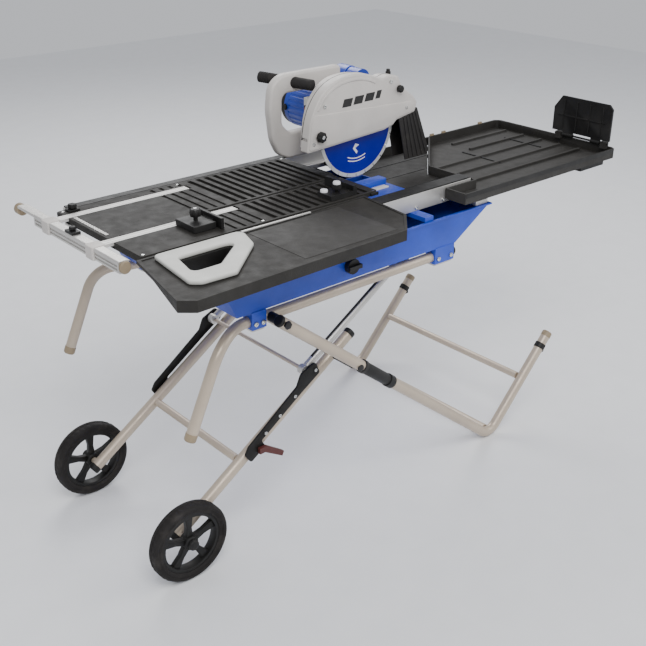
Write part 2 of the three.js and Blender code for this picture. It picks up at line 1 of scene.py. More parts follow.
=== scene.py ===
"""Looks of the wet tile saw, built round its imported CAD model.

Lengths are millimetres of the saw's drawing frame: x runs to the outfeed end, y away from the side tray,
z up, and the blade turns in the plane y = 0. row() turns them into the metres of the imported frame.
"""
import json
import math

import bmesh
import bpy
from mathutils import Matrix, Vector


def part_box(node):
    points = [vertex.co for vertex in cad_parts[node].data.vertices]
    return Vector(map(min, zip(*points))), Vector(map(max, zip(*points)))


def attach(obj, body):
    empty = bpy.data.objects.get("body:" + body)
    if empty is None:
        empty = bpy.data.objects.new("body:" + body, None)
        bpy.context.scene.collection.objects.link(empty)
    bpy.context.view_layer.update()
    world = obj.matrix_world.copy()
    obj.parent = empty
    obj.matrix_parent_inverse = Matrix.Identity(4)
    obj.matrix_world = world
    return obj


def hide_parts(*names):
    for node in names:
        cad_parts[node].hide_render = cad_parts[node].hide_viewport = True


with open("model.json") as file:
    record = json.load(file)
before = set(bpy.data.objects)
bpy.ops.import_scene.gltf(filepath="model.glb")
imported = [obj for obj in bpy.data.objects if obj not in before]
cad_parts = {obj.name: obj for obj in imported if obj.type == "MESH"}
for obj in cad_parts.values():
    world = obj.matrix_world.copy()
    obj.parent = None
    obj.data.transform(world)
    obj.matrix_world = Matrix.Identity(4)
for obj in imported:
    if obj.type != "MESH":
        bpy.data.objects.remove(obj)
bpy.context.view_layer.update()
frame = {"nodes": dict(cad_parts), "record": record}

# ---------- drawing frame ----------
MM = 0.001
ARBOR = (146, 896)
blade_low, blade_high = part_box("blade")
SHIFT = (blade_low + blade_high) / 2 - Vector((ARBOR[0], 0, ARBOR[1])) * MM
TO_ROW = Matrix.Translation(SHIFT) @ Matrix.Scale(MM, 4)


def row(x, y, z):
    return TO_ROW @ Vector((x, y, z))


BLADE_R = 127
MOTOR = (138, 926.16)
MOTOR_R = 60
# The stand's middle plane, and how far its tubes, wheels and feet stand from it.
STAND_Y = -22
RAIL_OFF, LEG_OFF, FOOT_OFF, WHEEL_OFF, FEET_OFF = 228, 190, 282, 229, 272
RAIL_Z = 606
FOLD_PIVOT = (-350, 606)
CROSSING = (-123, 417)
SHOE = (104, 606)
AXLE = (-600, 101.6)
FOOT = (409, 14)
RISER_TOP = (650, 258)
STRUT_LOW = (-216, 403)
TABLE_TOP = 780
ROLLER_X = (-535, -125)
ROLLER_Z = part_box("front_roller_axle")[0].z / MM + 10
ARM_Y = (-20, 185)
SIDES = (("near", -1), ("far", 1))


# ---------- camera ----------
def aim_camera():
    eye = row(-1564, -1835, 1551)
    heading, dip = math.radians(49.2), math.radians(26.3)
    ahead = Vector((math.cos(heading) * math.cos(dip), math.sin(heading) * math.cos(dip), -math.sin(dip)))
    camera = bpy.data.objects.new("camera", bpy.data.cameras.new("camera"))
    camera.location = eye
    camera.rotation_mode = "QUATERNION"
    camera.rotation_quaternion = ahead.to_track_quat("-Z", "Y")
    camera.data.sensor_width = 36
    camera.data.lens = 54.6
    camera.data.shift_x = 0.005
    camera.data.shift_y = 0.012
    camera.data.clip_end = 50
    bpy.context.scene.collection.objects.link(camera)
    bpy.context.scene.camera = camera


# ---------- materials ----------
def linear(code):
    channels = [int(code[i:i + 2], 16) / 255 for i in (0, 2, 4)]
    return [c / 12.92 if c <= 0.04045 else ((c + 0.055) / 1.055) ** 2.4 for c in channels]


MOTTLE_SCALE, SPECK_SCALE, DUST_SCALE, GLOSS_SCALE = 11, 160, 26, 38
DUST_COLOUR = (0.16, 0.14, 0.12)


def finish(name, code, rough, slot=None, metal=0.0, mottle=0.12, grain=0.1, grain_mm=0.7, brushed=None,
           edge=0.0, dust=0.0, specular=0.5, coat=0.0):
    """A procedural finish: mottled colour, worn edges, settled dust, uneven gloss and a fine grain."""
    made = bpy.data.materials.new(name)
    made.use_nodes = True
    made["slot"] = slot or name
    nodes, links = made.node_tree.nodes, made.node_tree.links
    shader = nodes["Principled BSDF"]
    shader.inputs["Metallic"].default_value = metal
    shader.inputs["Specular IOR Level"].default_value = specular
    shader.inputs["Coat Weight"].default_value = coat
    coords = nodes.new("ShaderNodeTexCoord").outputs["Object"]

    def noise(scale, detail, stretch=None):
        source = coords
        if stretch:
            mapping = nodes.new("ShaderNodeMapping")
            mapping.inputs["Scale"].default_value = stretch
            links.new(coords, mapping.inputs["Vector"])
            source = mapping.outputs["Vector"]
        texture = nodes.new("ShaderNodeTexNoise")
        texture.inputs["Scale"].default_value = scale
        texture.inputs["Detail"].default_value = detail
        links.new(source, texture.inputs["Vector"])
        return texture.outputs["Fac"]

    def ranged(value, low, high, out_low, out_high):
        node = nodes.new("ShaderNodeMapRange")
        ends = (("From Min", low), ("From Max", high), ("To Min", out_low), ("To Max", out_high))
        for key, number in ends:
            node.inputs[key].default_value = number
        links.new(value, node.inputs["Value"])
        return node.outputs["Result"]

    def mixed(factor, a, b):
        node = nodes.new("ShaderNodeMix")
        node.data_type = "RGBA"
        links.new(factor, node.inputs["Factor"])
        for key, colour in ((6, a), (7, b)):
            if isinstance(colour, bpy.types.NodeSocket):
                links.new(colour, node.inputs[key])
            else:
                node.inputs[key].default_value = (*colour, 1)
        return node.outputs[2]

    base = linear(code)
    dark = [c * (1 - mottle) for c in base]
    light = [min(1, c * (1 + mottle) + 0.004) for c in base]
    colour = mixed(ranged(noise(MOTTLE_SCALE, 4), 0.35, 0.65, 0, 1), dark, light)
    colour = mixed(ranged(noise(SPECK_SCALE, 2), 0.55, 0.75, 0, 0.35), colour, dark)
    if edge:
        worn = nodes.new("ShaderNodeNewGeometry").outputs["Pointiness"]
        pale = [min(1, c * 1.5 + 0.05) for c in base]
        colour = mixed(ranged(worn, 0.52, 0.62, 0, edge), colour, pale)
    if dust:
        colour = mixed(ranged(noise(DUST_SCALE, 6), 0.5, 0.72, 0, dust), colour, DUST_COLOUR)
    links.new(colour, shader.inputs["Base Color"])
    gloss = noise(GLOSS_SCALE, 5) if brushed is None else noise(30, 4, brushed)
    links.new(ranged(gloss, 0.3, 0.7, rough - 0.06, rough + 0.08), shader.inputs["Roughness"])
    bump = nodes.new("ShaderNodeBump")
    bump.inputs["Strength"].default_value = grain
    bump.inputs["Distance"].default_value = grain_mm * MM
    height = noise(1000 / grain_mm / 3, 2) if brushed is None else noise(60, 3, brushed)
    links.new(height, bump.inputs["Height"])
    links.new(bump.outputs["Normal"], shader.inputs["Normal"])
    return made


blue_plastic = finish("blue_plastic", "123cae", 0.42, grain=0.25, edge=0.2)
blue_metal = finish("blue_metal", "1038a6", 0.36, grain=0.12, edge=0.25, coat=0.2)
blade_blue = finish("blade_blue", "07078e", 0.4, metal=0.1, mottle=0.05, grain=0.05, specular=0.4)
grey_cast = finish("grey_cast", "c3beb9", 0.46, mottle=0.05, grain=0.22, grain_mm=0.9, edge=0.15)
light_grey = finish("light_grey", "c6c6c0", 0.5, mottle=0.05, grain=0.25, edge=0.1)
dark_plastic = finish("dark_plastic", "23211e", 0.62, mottle=0.05, grain=0.5, grain_mm=1.1, edge=0.3,
                      dust=0.04, specular=0.3)
black = finish("black_plastic", "0f0e0d", 0.5, grain=0.35, edge=0.3, dust=0.04, specular=0.3)
rubber = finish("rubber", "211f1e", 0.78, grain=0.5, grain_mm=1.2, edge=0.15, dust=0.15, specular=0.3)
flap_rubber = finish("flap_rubber", "120e0c", 0.6, "rubber", grain=0.4, grain_mm=1.4, edge=0.2, dust=0.1)
tyre_rubber = finish("tyre_rubber", "1c1918", 0.74, "tyre", grain=0.6, grain_mm=1.5, dust=0.12, specular=0.3)
champagne = finish("champagne", "bcae9c", 0.4, metal=0.35, mottle=0.05, grain=0.15, grain_mm=0.5, edge=0.2)
silver = finish("silver", "cac8c4", 0.38, metal=0.6, mottle=0.05, brushed=(1, 22, 22))
steel = finish("steel", "a8aaac", 0.26, metal=1.0, mottle=0.06, brushed=(20, 1, 20))
dark_steel = finish("dark_steel", "2b2a2a", 0.4, "steel", metal=0.6)
segment_steel = finish("segment_steel", "d8d8d4", 0.4, "steel", metal=0.45, mottle=0.06)
arm_silver = finish("arm_silver", "dad8d4", 0.42, "silver", metal=0.3, mottle=0.04, brushed=(1, 22, 22))
zinc = finish("zinc", "c9cac8", 0.22, "steel", metal=1.0, mottle=0.08, grain=0.08)
copper = finish("copper", "a8673c", 0.36, metal=0.8, brushed=(1, 30, 1), grain=0.2)
red_plastic = finish("red_plastic", "8c2f22", 0.42, grain=0.2, edge=0.3)
pedal_red = finish("pedal_red", "4c1812", 0.5, "red_plastic", grain=0.25, edge=0.3, dust=0.05)
tan_plastic = finish("tan_plastic", "8a7a62", 0.5, "dark_plastic", grain=0.25, edge=0.2)
mark_white = finish("mark_white", "e8e8ea", 0.45, "light_grey", mottle=0.04)


# ---------- outlines ----------
def polar(centre, radius, turn):
    return (centre[0] + radius * math.cos(turn), centre[1] + radius * math.sin(turn))


def circle(radius, centre, sides=64):
    return [polar(centre, radius, 2 * math.pi * i / sides) for i in range(sides)]


def rectangle(x, y):
    return [(x[0], y[0]), (x[1], y[0]), (x[1], y[1]), (x[0], y[1])]


def spun(points, centre, turn):
    """The outline, drawn about the origin, turned and carried to the centre."""
    c, s = math.cos(turn), math.sin(turn)
    return [(centre[0] + a * c - b * s, centre[1] + a * s + b * c) for a, b in points]


def fluted(depth, count, beyond, sunk=0):
    """The ripple of a knob's flutes, on the parts of its profile beyond a radius."""
    return lambda turn, radius, t: depth * math.cos(count * turn) - sunk if radius > beyond else 0


# A corner stays sharp when its half angle passes STRAIGHT or its arc would be shorter than this.
STRAIGHT = 1.56
SHORTEST_ARC = 0.05


def rounded(points, radii, steps=6):
    """The outline with an arc at each corner; radii is one number or one for each corner."""
    if not isinstance(radii, (list, tuple)):
        radii = [radii] * len(points)
    out = []
    for i, radius in enumerate(radii):
        p = Vector(points[i])
        back = Vector(points[i - 1]) - p
        ahead = Vector(points[(i + 1) % len(points)]) - p
        half = back.angle(ahead) / 2
        room = 0.49 * min(back.length, ahead.length)
        reach = min(room, radius / math.tan(half)) if half < STRAIGHT else 0
        if reach < SHORTEST_ARC:
            out.append(tuple(p))
            continue
        a, b = p + back.normalized() * reach, p + ahead.normalized() * reach
        for step in range(steps + 1):
            t = step / steps
            out.append(tuple(a * (1 - t) ** 2 + p * 2 * t * (1 - t) + b * t * t))
    return out


def area(points):
    pairs = zip(points, points[1:] + points[:1])
    return sum(a[0] * b[1] - b[0] * a[1] for a, b in pairs) / 2


def inset(points, depth):
    """The outline moved inwards by depth."""
    turn = 1 if area(points) > 0 else -1
    out = []
    for i, point in enumerate(points):
        p = Vector(point)
        before = (p - Vector(points[i - 1])).normalized()
        after = (Vector(points[(i + 1) % len(points)]) - p).normalized()
        normal = Vector((-before.y - after.y, before.x + after.x)) * turn
        scale = max(0.5, normal.length_squared / 2)
        out.append(tuple(p + normal * (depth / scale)))
    return out


def by_angle(points, centre, count=144):
    """Where rays from centre leave the outline, at equal angles."""
    out = []
    c = Vector(centre)
    for i in range(count):
        turn = 2 * math.pi * (i + 0.5) / count
        ray = Vector((math.cos(turn), math.sin(turn)))
        hits = []
        for a, b in zip(points, points[1:] + points[:1]):
            start, edge = Vector(a) - c, Vector(b) - Vector(a)
            cross = ray.x * edge.y - ray.y * edge.x
            if abs(cross) < 1e-9:
                continue
            along = (start.x * edge.y - start.y * edge.x) / cross
            share = (start.x * ray.y - start.y * ray.x) / cross
            if along > 0 and -1e-6 <= share <= 1 + 1e-6:
                hits.append(along)
        out.append(tuple(c + ray * max(hits)))
    return out


def bent(corners, radius, steps=10):
    """Corner points to stations, with a round bend at each inner corner."""
    points = [Vector(c) for c in corners]
    stations = [points[0]]
    for i in range(1, len(points) - 1):
        back = (points[i - 1] - points[i]).normalized()
        ahead = (points[i + 1] - points[i]).normalized()
        half = back.angle(ahead) / 2
        centre = points[i] + (back + ahead).normalized() * (radius / math.sin(half))
        reach = radius / math.tan(half)
        start, end = points[i] + back * reach - centre, points[i] + ahead * reach - centre
        sweep = math.pi - 2 * half
        for step in range(steps + 1):
            t = step / steps
            swung = start * math.sin((1 - t) * sweep) + end * math.sin(t * sweep)
            stations.append(centre + swung / math.sin(sweep))
    return stations + [points[-1]]


# ---------- mesh building ----------
LIFT = {
    "X": lambda a, b, t: (t, a, b),
    "Y": lambda a, b, t: (a, t, b),
    "Z": lambda a, b, t: (a, b, t),
}
# Which ends of a pillow are rounded over.
RIM_LOW, RIM_HIGH = (True, False), (False, True)
POINT = 0.001
WELD_MM, WELD_ROW = 2e-3, 2e-6
FLAT_DEG = 0.6


def flatten(bm):
    """Makes each flat face whole again."""
    bmesh.ops.dissolve_limit(bm, angle_limit=math.radians(FLAT_DEG), verts=bm.verts, edges=bm.edges)


class Shape:
    """A mesh under construction, in drawing millimetres unless it came from the CAD."""

    def __init__(self, mesh=None):
        self.bm = bmesh.new()
        self.in_row = mesh is not None
        if mesh:
            self.bm.from_mesh(mesh)

    def skin(self, rings, closed=False):
        loops = [[self.bm.verts.new(p) for p in ring] for ring in rings]
        pairs = list(zip(loops, loops[1:]))
        if closed:
            pairs.append((loops[-1], loops[0]))
        else:
            self.bm.faces.new(loops[0][::-1])
            self.bm.faces.new(loops[-1])
        for a, b in pairs:
            for i, vert in enumerate(a):
                j = (i + 1) % len(a)
                self.bm.faces.new((vert, a[j], b[j], b[i]))
        return self

    def prism(self, points, span, axis="Y"):
        return self.skin([[LIFT[axis](a, b, t) for a, b in points] for t in span])

    def pillow(self, points, span, rim, axis="Y", steps=4, ends=(True, True)):
        """A prism whose rims are rounded over by rim at the chosen ends."""
        low, high = span
        turns = [math.pi / 2 * i / steps for i in range(steps + 1)]
        arc = [(rim * (1 - math.sin(a)), rim * (1 - math.cos(a))) for a in turns]
        stack = [(low + rise, depth) for rise, depth in arc[::-1]] if ends[0] else [(low, 0)]
        stack += [(high - rise, depth) for rise, depth in arc] if ends[1] else [(high, 0)]
        return self.skin([[LIFT[axis](a, b, t) for a, b in inset(points, depth)] for t, depth in stack])

    def hoop(self, outer, inner, span, rim, axis="Z", centre=None, steps=4):
        """A frame between two outlines, its edges rounded over by rim."""
        centre = centre or tuple(sum(c) / len(inner) for c in zip(*inner))
        low, high = span
        turns = [math.pi / 2 * i / steps for i in range(steps + 1)]
        profile = [(high - rim * (1 - math.cos(a)), rim * (1 - math.sin(a))) for a in turns]
        profile += [(low + rim * (1 - math.sin(a)), rim * (1 - math.cos(a))) for a in turns]
        rings = [[LIFT[axis](a, b, t) for a, b in by_angle(inset(outer, depth), centre)]
                 for t, depth in profile]
        rings += [[LIFT[axis](a, b, t) for a, b in by_angle(inset(inner, -depth), centre)]
                  for t, depth in reversed(profile)]
        return self.skin(rings, closed=True)

    def turned(self, profile, centre, axis="Y", sides=64, closed=False, ripple=None):
        """A turned piece: profile holds (radius, place along the axis)."""
        rings = []
        for radius, t in profile:
            ring = []
            for i in range(sides):
                turn = 2 * math.pi * i / sides
                r = max(radius, POINT) + (ripple(turn, radius, t) if ripple else 0)
                ring.append(LIFT[axis](*polar(centre, r, turn), t))
            rings.append(ring)
        return self.skin(rings, closed=closed)

    def tube(self, stations, radius, sides=28):
        """A round bar along stations; radius is one number or one for each station."""
        points = [Vector(s) for s in stations]
        radii = radius if isinstance(radius, (list, tuple)) else [radius] * len(points)
        heading = (points[1] - points[0]).normalized()
        side = heading.orthogonal().normalized()
        rings = []
        for i, point in enumerate(points):
            ahead = points[min(i + 1, len(points) - 1)] - points[max(i - 1, 0)]
            ahead.normalize()
            side = (side - ahead * side.dot(ahead)).normalized()
            up = ahead.cross(side)
            rings.append([point + (side * math.cos(t) + up * math.sin(t)) * radii[i]
                          for t in (2 * math.pi * k / sides for k in range(sides))])
        return self.skin(rings)

    def block(self, x, y, z):
        return self.prism(rectangle(x, y), z, "Z")

    def hexagon(self, centre, radius, span):
        return self.pillow(circle(radius, centre, 6), span, 0.6, "Y", 2)

    def screw(self, centre, radius, span, axis="Y"):
        """A pan-head screw with a hexagon socket, its head towards the first end of the span."""
        low, high = span
        rise = high - low
        bore, depth = radius * 0.5, low + rise * 0.6
        profile = [(radius * 0.96, high), (radius, high - rise * 0.3), (radius * 0.86, low + rise * 0.12),
                   (radius * 0.6, low), (bore, low), (bore, depth), (0, depth)]
        return self.turned(profile, centre, axis, 24)


def from_cad(node):
    """A copy of a CAD node's solid with its flat faces whole again."""
    shape = Shape(frame["nodes"][node].data)
    bmesh.ops.remove_doubles(shape.bm, verts=shape.bm.verts, dist=WELD_ROW)
    flatten(shape.bm)
    return shape


def blocks(boxes):
    shape = Shape()
    for x, y, z in boxes:
        shape.block(x, y, z)
    return shape


def body_of(node):
    return next(body for body, nodes in frame["record"]["behaviour"]["bodies"].items() if node in nodes)


def link(name, mesh):
    made = bpy.data.objects.new(name, mesh)
    bpy.context.scene.collection.objects.link(made)
    return made


def to_mesh(name, shape):
    bmesh.ops.remove_doubles(shape.bm, verts=shape.bm.verts, dist=WELD_ROW if shape.in_row else WELD_MM)
    if not shape.in_row:
        shape.bm.transform(TO_ROW)
    bmesh.ops.recalc_face_normals(shape.bm, faces=shape.bm.faces)
    mesh = bpy.data.meshes.new(name)
    shape.bm.to_mesh(mesh)
    shape.bm.free()
    return mesh


def carve(shape, tool):
    """The shape less the tool."""
    base, cutter = link("base", to_mesh("base", shape)), link("cutter", to_mesh("cutter", tool))
    cut = base.modifiers.new("cut", "BOOLEAN")
    cut.operation = "DIFFERENCE"
    cut.solver = "EXACT"
    cut.use_self = True
    cut.object = cutter
    result = bpy.data.meshes.new_from_object(base.evaluated_get(bpy.context.evaluated_depsgraph_get()))
    bpy.data.objects.remove(base)
    bpy.data.objects.remove(cutter)
    carved = Shape(result)
    flatten(carved.bm)
    return carved


def piece(name, shape, material, body="base", replaces=(), bevel=0, segments=2, sharp=36):
    """Adds the shape to the saw, riding on a body, with softened edges."""
    mesh = to_mesh(name, shape)
    mesh.polygons.foreach_set("use_smooth", [True] * len(mesh.polygons))
    mesh.set_sharp_from_angle(angle=math.radians(sharp))
    mesh.materials.append(material)
    made = link(name, mesh)
    if bevel:
        soft = made.modifiers.new("soft_edges", "BEVEL")
        soft.width = bevel * MM
        soft.segments = segments
        soft.limit_method = "ANGLE"
        soft.angle_limit = math.radians(sharp)
        soft.harden_normals = True
    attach(made, body)
    if replaces:
        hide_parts(*replaces)
    return made


def stand_in(node, shape, material, bevel=0, segments=2, sharp=36):
    """Puts the shape in the CAD node's place, on the node's own body."""
    return piece(f"{node}_finished", shape, material, body_of(node), (node,), bevel, segments, sharp)


def refine(node, material, bevel=0.8, segments=2):
    """Stands a copy of the CAD node, with softened edges, in its place."""
    return stand_in(node, from_cad(node), material, bevel, segments)


def add_screws(name, places, radius, span, body="base", axis="Y"):
    shape = Shape()
    for place in places:
        shape.screw(place, radius, span, axis)
    piece(name, shape, zinc, body)


def beside(sign, offset):
    """A place along y, counted from the stand's middle plane to one side."""
    return STAND_Y + sign * offset


def across(sign, start, end):
    return tuple(sorted((beside(sign, start), beside(sign, end))))


def off(point, sign, offset):
    return (point[0], beside(sign, offset), point[1])


def sided(sign, *profile):
    """A turned profile whose places are counted from the stand's middle plane."""
    return [(radius, beside(sign, offset)) for radius, offset in profile]


# ---------- basin, beams and guide rails ----------
def make_basin():
    refine("water_basin", blue_plastic, 2.2, 3)
    bolts, straps = Shape(), Shape()
    for _, sign in SIDES:
        for x in (-398, -378, 190, 236):
            bolts.screw((x, 604), 6.5, (beside(sign, 250), beside(sign, 245)))
        for start, end in ((-408, -368), (178, 248)):
            foot = rectangle((start + 2, end - 2), across(sign, 213, 243))
            straps.pillow(rounded(foot, 4), (584.5, 589.8), 1.2, "Z", 2)
    piece("saddle_bolts", bolts, zinc)
    piece("saddle_straps", straps, silver)
    refine("drain_plug", black, 1.2)
    refine("front_beam", silver, 1)
    refine("rear_beam", silver, 1)


def make_rails():
    refine("guide_rail_near", silver)
    refine("guide_rail_far", silver)
    top, end, height = (769.2, 772.5), (363.5, 369), (726, 769)
    covers = blocks([((38, 362), (-209, -168), top), ((-558, 362), (252, 279), top),
                     (end, (-210, -166), height), (end, (250, 280), height)])
    piece("rail_covers", covers, black, bevel=1)
    clips = blocks(((x, x + 22), (279.5, 283), (744, 762)) for x in (-500, -300, -100, 100, 300))
    piece("rail_clips", clips, black, bevel=1)
    add_screws("rail_screws", [(x, 733) for x in (60, 160, 260, 345)], 5, (-213, -209.6))


def make_blade_well():
    refine("blade_well", blue_plastic, 1.8, 3)
    cheek = Shape().pillow(rounded(rectangle((104, 222), (-40, -8)), 5), (743, 758), 2, "Z", 3, RIM_HIGH)
    piece("blade_cheek", cheek, blue_plastic)
    strip = Shape().pillow(rounded(rectangle((100, 204), (-68, -48)), 3), (742.6, 746), 0.7, "Z", 2,
                           RIM_HIGH)
    piece("blade_well_strip", strip, arm_silver)
    deck = Shape().prism([(232, -144), (371, -144), (371, -49.6), (393.3, -27.3), (590, 160), (356, 160),
                          (356, 228), (232, 228)], (730, 740), "Z")
    deck.block((356, 590), (155.5, 160.5), (739, 764))
    for y in (-130, 60, 190):
        deck.block((334, 370), (y, y + 16), (724.4, 731))
    piece("rear_deck", deck, dark_plastic, bevel=0.8)
    ribs = blocks(((240, end), (y, y + 4), (739.7, 741.2)) for end, y in ((366, -100), (400, -10), (500, 80)))
    piece("rear_deck_ribs", ribs, black, bevel=0.6)


def make_pump():
    refine("water_pump", black, 2)
    beam_top, post = 718.2, (400, 346.5)
    route = bent([(212, 163, 684.3), (212, 163, beam_top), (212, 318, beam_top), (330, 346.5, beam_top),
                  (*post, 740), (*post, 920)], 12, 8)
    stand_in("pump_hose", Shape().tube(route, 5, 20), rubber)
    clips = Shape()
    for z in (790, 860, 912):
        clips.turned([(6.4, z), (6.4, z + 5), (5.1, z + 5), (5.1, z)], post, "Z", 28, closed=True)
    piece("hose_clips", clips, zinc, bevel=0.3)


# ---------- sliding table ----------
def make_table():
    x0, x1, section = -600, 84, -258
    y0, y1 = -146, 230
    slot, over = (-4, 4), 790
    top = Shape().prism(rounded(rectangle((x0, x1), (y0, y1)), 6, 5), (768, TABLE_TOP), "Z")
    slab = Shape().block((x0 + 2, section), (y0 + 4, y1 - 4), (762, 770))
    for y in ((y0, y0 + 5), (y1 - 5, y1)):
        slab.block((-560, -100), y, (742, 770))
    tool = Shape().block((-370, x1 + 5), slot, (750, over))
    for y in ARM_Y:
        tool.block((x0 - 5, section), (y - 13, y + 13), (771, over))
    for x in range(-240, 70, 26):
        for y in ((-138, -12), (12, 222)):
            tool.block((x, x + 13), y, (774, over))
    for x in range(-352, -270, 26):
        for y in ((-138, -38), (12, 166), (204, 222)):
            tool.block((x, x + 9), y, (776.6, over))
    slab_tool = Shape().block((-370, section + 5), slot, (750, over))
    for x in ROLLER_X:
        for edge in (y0, y1):
            slab_tool.prism(circle(3.4, (x, ROLLER_Z), 20), (edge - 9, edge + 9))
    for y in ARM_Y:
        slab_tool.block((x0 - 5, section + 5), (y - 12.9, y + 12.9), (768, over))
    piece("table_top", carve(top, tool), dark_plastic, "table", ("sliding_table",), 0.8)
    piece("table_frame", carve(slab, slab_tool), dark_plastic, "table", bevel=0.6)
    floors = blocks(((x0 + 2, section), (y - 13, y + 13), (763, 770.8)) for y in ARM_Y)
    floors = carve(floors, Shape().block((-370, 0), slot, (750, over)))
    piece("arm_channels", floors, black, "table", bevel=0.4)
    trim = Shape()
    for y in ((-150, -146.3), (230.3, 236)):
        trim.block((-598, -560), y, (760, 777))
        trim.block((60, 86), y, (768.4, 777))
    piece("table_bumpers", trim, black, "table", bevel=1.5)
    scale = Shape().block((-592, -584), (16, 164), (TABLE_TOP, 780.7))
    piece("scale_strip", scale, silver, "table", bevel=0.2)
    marks = Shape()
    for i, y in enumerate(range(20, 162, 5)):
        marks.block((-591.5, -588 if i % 2 else -585), (y, y + 0.8), (780.6, 780.95))
    piece("scale_marks", marks, black, "table")
    lock = Shape().pillow(rounded(rectangle((-582, -552), (202, 226)), 5), (780.1, 785), 1.4, "Z")
    lock.turned([(0, 797), (9, 796), (10.6, 793.6), (10.6, 787), (6, 785.4), (6, 783)], (-567, 214), "Z", 28,
                ripple=fluted(1.1, 6, 8))
    piece("arm_lock", lock, black, "table", bevel=0.3)
    screws = Shape()
    for x, y in ((-590, -136), (-590, 220), (-270, -136), (-270, 220), (74, -141), (74, 225)):
        screws.turned([(3.6, 779.6), (3.6, 780.1), (2.6, 780.3), (1.6, 780.05), (0, 780.05)], (x, y), "Z", 18)
    piece("table_screws", screws, zinc, "table")


def make_rollers():
    for end, x in zip(("front", "rear"), ROLLER_X):
        at = (x, ROLLER_Z)
        wheels = Shape()
        for low, high in ((-163, -150), (234, 247)):
            wheels.turned([(3, low), (8.5, low), (10, low + 1.5), (10, high - 1.5), (8.5, high), (3, high)],
                          at, sides=40, closed=True)
        pin = Shape().turned([(0, -165), (2.6, -165), (3, -164.4), (3, 248.4), (2.6, 249), (0, 249)], at,
                             sides=24)
        piece(f"{end}_rollers_finished", wheels, black, f"{end}_rollers", (f"{end}_roller_axle",),
              0.3)
        piece(f"{end}_roller_pin", pin, steel, f"{end}_rollers")


def make_extension():
    bar_x, face = (-652, -626), 780
    bar = Shape().prism(rounded(rectangle(bar_x, (752, face)), 4), (-139.4, 246))
    grooves = blocks(((-656, -649), (-134, 240), (z, z + 5)) for z in (758, 766.5))
    stand_in("extension_bar", carve(bar, grooves), silver, 0.5)
    tail = Shape().prism(rounded(rectangle(bar_x, (773, face)), 2), (245, 330))
    piece("extension_tail", tail, silver, "extension", bevel=0.5)
    arms = Shape()
    low, high, groove = 771.4, 779.4, 778
    for y in ARM_Y:
        section = [(y - 12, low), (y + 12, low), (y + 12, high)]
        for mid in (y + 6, y - 6):
            section += [(mid + 1.6, high), (mid + 1, groove), (mid - 1, groove), (mid - 1.6, high)]
        arms.prism(section + [(y - 12, high)], (-627, -264), "X")
    piece("extension_arms", arms, arm_silver, "extension", bevel=0.4)
    caps = Shape()
    for low, high in ((-148, -139.5), (329.5, 352)):
        caps.turned([(0, low), (12.4, low), (14, low + 1.8), (14, high - 1.8), (12.4, high), (0, high)],
                    (-639, 766), sides=36)
    piece("extension_caps", caps, tan_plastic, "extension", bevel=0.3)
    clamps = Shape()
    for y in ARM_Y:
        clamps.pillow(rounded(rectangle((-656, -622), (y - 17, y + 17)), 5), (751, 781.5), 1.6, "Z")
    piece("arm_clamps", clamps, grey_cast, "extension")
    stop = Shape().block((-650, -628), (60, 96), (face, 786))
    stop.turned([(0, 796), (7, 795), (8, 793), (8, 788), (4, 786), (4, 784)], (-639, 78), "Z", 24)
    piece("extension_stop", stop, black, "extension", bevel=1)


def make_guides():
    refine("angle_gauge", black, 1.5)
    face = Shape().block((-367.9, -366.4), (-120, -20), (783, 804))
    piece("gauge_face", face, silver, "gauge", bevel=0.4)
    at = (-410, -70)
    knob = Shape().turned([(5, 796.3), (5, 804), (9, 805), (13, 807), (14, 811), (14, 819), (11, 823),
                           (5, 824), (0, 824)], at, "Z", 60, ripple=fluted(1.1, 6, 10, 1.1))
    stand_in("gauge_knob", knob, black)
    pin = Shape().turned([(4.2, 823.6), (4.2, 824.8), (3.4, 825.3), (0, 825.3)], at, "Z", 24)
    piece("gauge_knob_pin", pin, zinc, "gauge_knob_body")
    refine("rip_guide", black, 1.2)
    dials = Shape()
    for x, y, base in ((-50, -97, 791.6), (-22, -112, 809.6)):
        dials.turned([(9.4, base), (9.4, base + 5), (8.4, base + 6.4), (0, base + 6.4)], (x, y), "Z", 36)
    piece("rip_guide_dials", dials, mark_white, "rip_guide_body")
    fence = Shape().block((22.1, 23.6), (-136, -32), (783, 802))
    piece("rip_guide_face", fence, silver, "rip_guide_body", bevel=0.4)


# ---------- trays ----------
def make_side_tray():
    refine("side_tray", dark_plastic, 1.6, 3)
    middle = (-510, -245)
    outer = rounded([(-583, -164), (-604, -328), (-584, -346), (-500, -350), (-379, -245), (-356, -180),
                     (-366, -164)], 14)
    inner = rounded([(-546, -212), (-564, -288), (-502, -288), (-408, -212)], 10)
    handle = Shape().hoop(outer, inset(inner, -5), (776.3, 786), 3.6, centre=middle)
    stand_in("carry_handle", handle, light_grey, sharp=50)
    lining = Shape().hoop(inset(inner, -1.5), inset(inner, 1.2), (733, 777), 0.6, centre=middle, steps=2)
    piece("carry_handle_lining", lining, black)
    edge = Shape().block((-352, -150), (-166, -160), (778, 781.5))
    piece("side_tray_rail", edge, silver, bevel=0.8)


